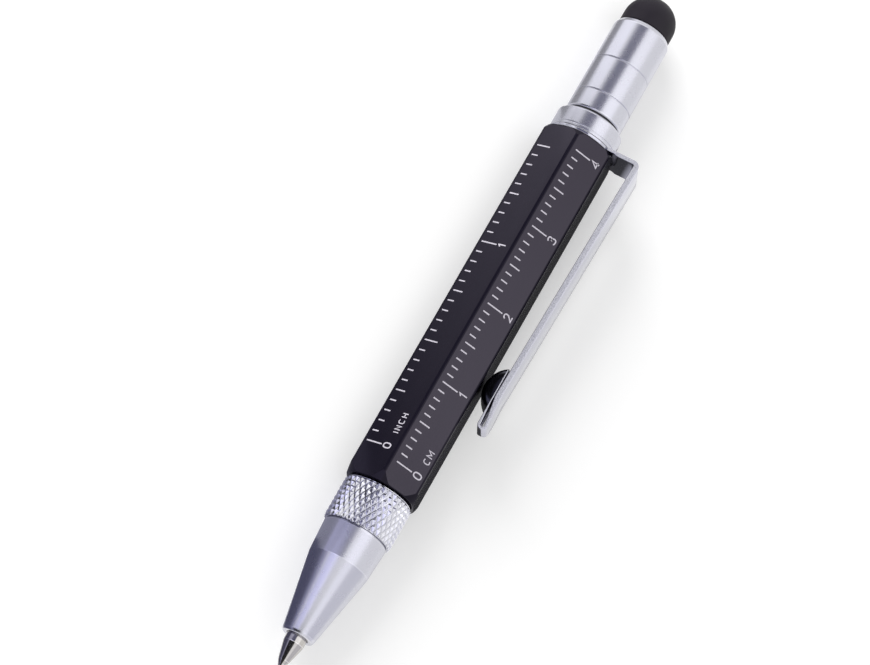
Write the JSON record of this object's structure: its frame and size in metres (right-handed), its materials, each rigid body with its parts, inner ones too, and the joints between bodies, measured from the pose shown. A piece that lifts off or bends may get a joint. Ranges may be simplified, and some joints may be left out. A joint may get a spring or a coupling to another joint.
{
  "type": "multi tool pen",
  "caption": "Short hexagonal ballpoint pen with printed rules, knurled twist ring, spring pocket clip, stylus cap over a reversible screwdriver bit, and a small spirit level.",
  "frame": {"origin": "centre of the flat opposite to the metric rule, at mid-barrel, where the pen rests", "axes": "+X along the pen towards the stylus, +Z out of the metric rule's face, +Y towards the side of the inch rule"},
  "size_m": [0.0858, 0.012, 0.0097],
  "materials": {
    "barrel_lacquer": "glossy black lacquer with pale grey printed rules",
    "satin_silver": "fine turned satin, cool silver",
    "knurl_chrome": "bright plated knurl",
    "clip_chrome": "polished plated strip",
    "tool_steel": "ground tool steel",
    "refill_nickel": "polished nickel plate",
    "brass": "turned brass",
    "white_acetal": "moulded acetal",
    "stylus_rubber": "matte conductive rubber",
    "black_rubber": "matte rubber",
    "level_clear": "clear acrylic, filled with yellow-green fluid"
  },
  "bodies": {
    "barrel": {"hex_barrel": "barrel_lacquer", "level_vial": "level_clear", "level_plug_front": "black_rubber", "level_plug_rear": "black_rubber", "top_collar": "satin_silver", "bit_socket": "tool_steel", "cam_sleeve": "brass", "front_bush": "white_acetal", "thrust_washer": "brass", "clip_ring": "clip_chrome"},
    "grip": {"knurled_ring": "knurl_chrome", "drive_tube": "tool_steel"},
    "nose": {"nose_cone": "satin_silver"},
    "refill": {"refill_point": "refill_nickel", "point_ball": "refill_nickel", "refill_tube": "refill_nickel", "refill_carrier": "white_acetal", "cam_pin": "tool_steel"},
    "cap_seal": {"cap_seal": "black_rubber"},
    "cap": {"stylus_cap": "satin_silver", "stylus_dome": "stylus_rubber", "dome_holder": "white_acetal"},
    "bit": {"driver_bit": "tool_steel"},
    "clip": {"clip_arm": "clip_chrome"}
  },
  "joints": [
    {"name": "grip_twist", "type": "hinge", "parent": "barrel", "child": "grip", "pos_m": [-0.0225, 0, 0.00395], "axis": [1, 0, 0], "range_deg": [-160, 0]},
    {"name": "refill_slide", "type": "slide", "parent": "grip", "child": "refill", "axis": [1, 0, 0], "range_m": [0, 0.0048]},
    {"name": "nose_draw", "type": "slide", "parent": "grip", "child": "nose", "axis": [-1, 0, 0], "range_m": [0, 0.017]},
    {"name": "cap_draw", "type": "slide", "parent": "barrel", "child": "cap_seal", "axis": [1, 0, 0], "range_m": [0, 0.025]},
    {"name": "cap_turn", "type": "hinge", "parent": "cap_seal", "child": "cap", "pos_m": [0.0255, 0, 0.00395], "axis": [1, 0, 0], "continuous": true},
    {"name": "bit_draw", "type": "slide", "parent": "barrel", "child": "bit", "axis": [1, 0, 0], "range_m": [0, 0.0145]},
    {"name": "clip_flex", "type": "hinge", "parent": "barrel", "child": "clip", "pos_m": [0.02265, -0.00424, 0.0064], "axis": [0, 0.5, 0.866], "range_deg": [0, 5], "stiffness_Nm_per_rad": 0.3}
  ],
  "couplings": [
    {"joint": "refill_slide", "follows": "grip_twist", "m_per_rad": -0.001718},
    {"joint": "bit_draw", "follows": "cap_draw", "ratio": 0.58}
  ]
}
